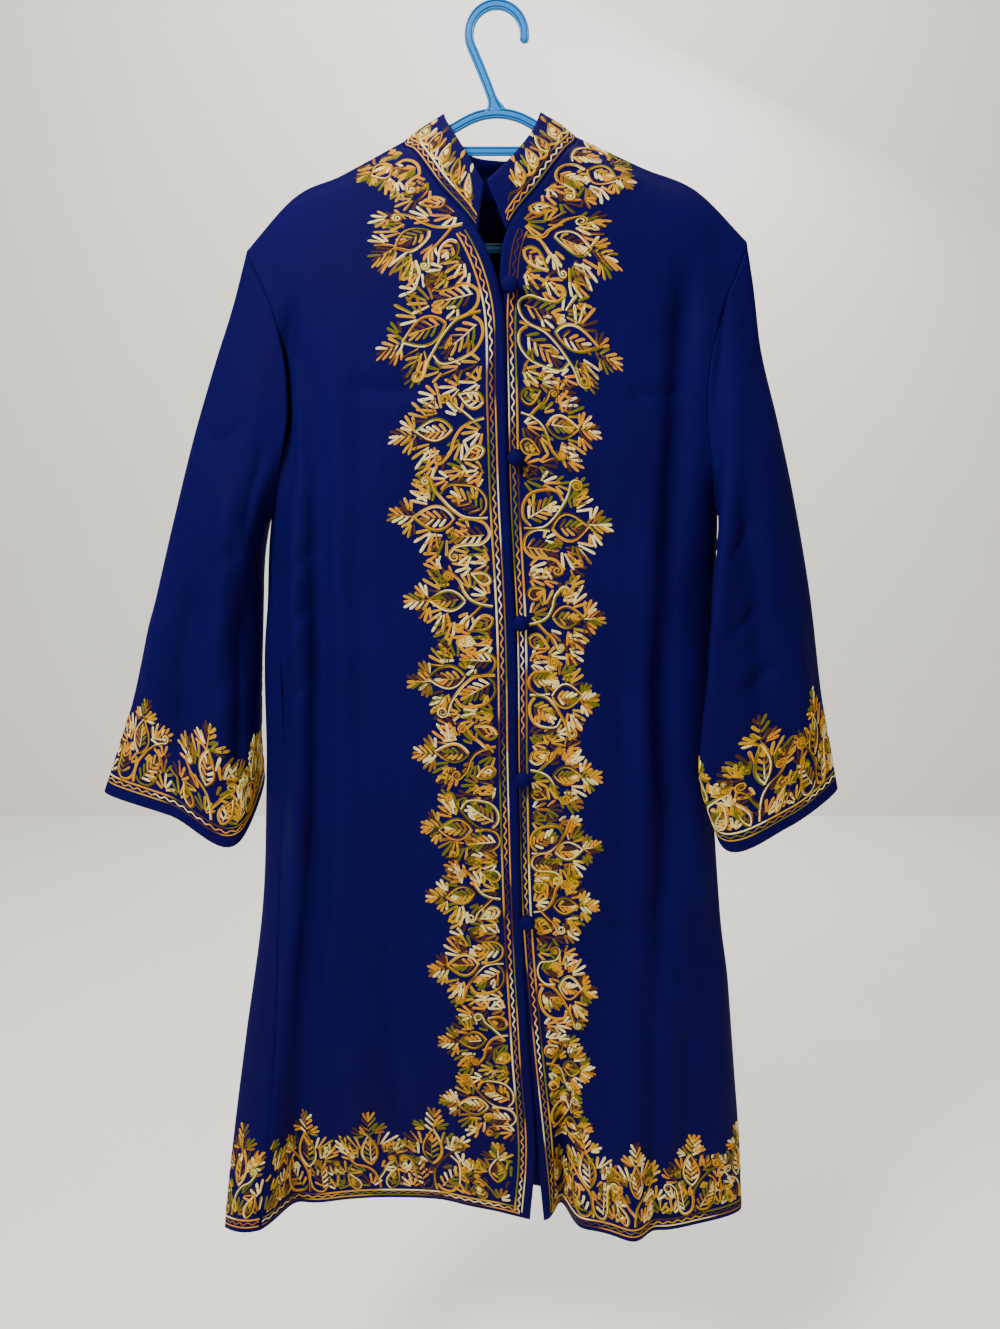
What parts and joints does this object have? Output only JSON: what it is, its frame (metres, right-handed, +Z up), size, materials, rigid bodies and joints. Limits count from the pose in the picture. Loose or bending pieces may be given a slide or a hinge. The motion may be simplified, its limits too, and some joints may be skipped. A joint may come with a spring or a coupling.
{
  "type": "embroidered coat on a hanger",
  "caption": "Knee-length wool coat with stand collar, straight sleeves and ball buttons with loops, chain-stitch borders all round, on a moulded hanger.",
  "frame": {"origin": "the inside top of the hanger's hook, where it hangs on a rail or peg", "axes": "+Z up, front of the coat towards -Y, +X to the wearer's left"},
  "size_m": [0.7709, 0.1047, 1.2642],
  "materials": {
    "royal_blue_cloth": "fine wool twill with a slight sheen",
    "collar_cloth": "the same wool twill, worked with chain stitch",
    "button_cloth": "the same wool twill stretched over a ball or sewn into a cord",
    "hanger_plastic": "satin moulded plastic"
  },
  "bodies": {
    "root": {"right_front": "royal_blue_cloth", "left_front": "royal_blue_cloth", "back": "royal_blue_cloth", "right_sleeve": "royal_blue_cloth", "left_sleeve": "royal_blue_cloth", "collar": "collar_cloth", "button_1": "button_cloth", "button_2": "button_cloth", "button_3": "button_cloth", "button_4": "button_cloth", "button_5": "button_cloth", "button_loop_1": "button_cloth", "button_loop_2": "button_cloth", "button_loop_3": "button_cloth", "button_loop_4": "button_cloth", "button_loop_5": "button_cloth", "hanger": "hanger_plastic"}
  },
  "joints": []
}
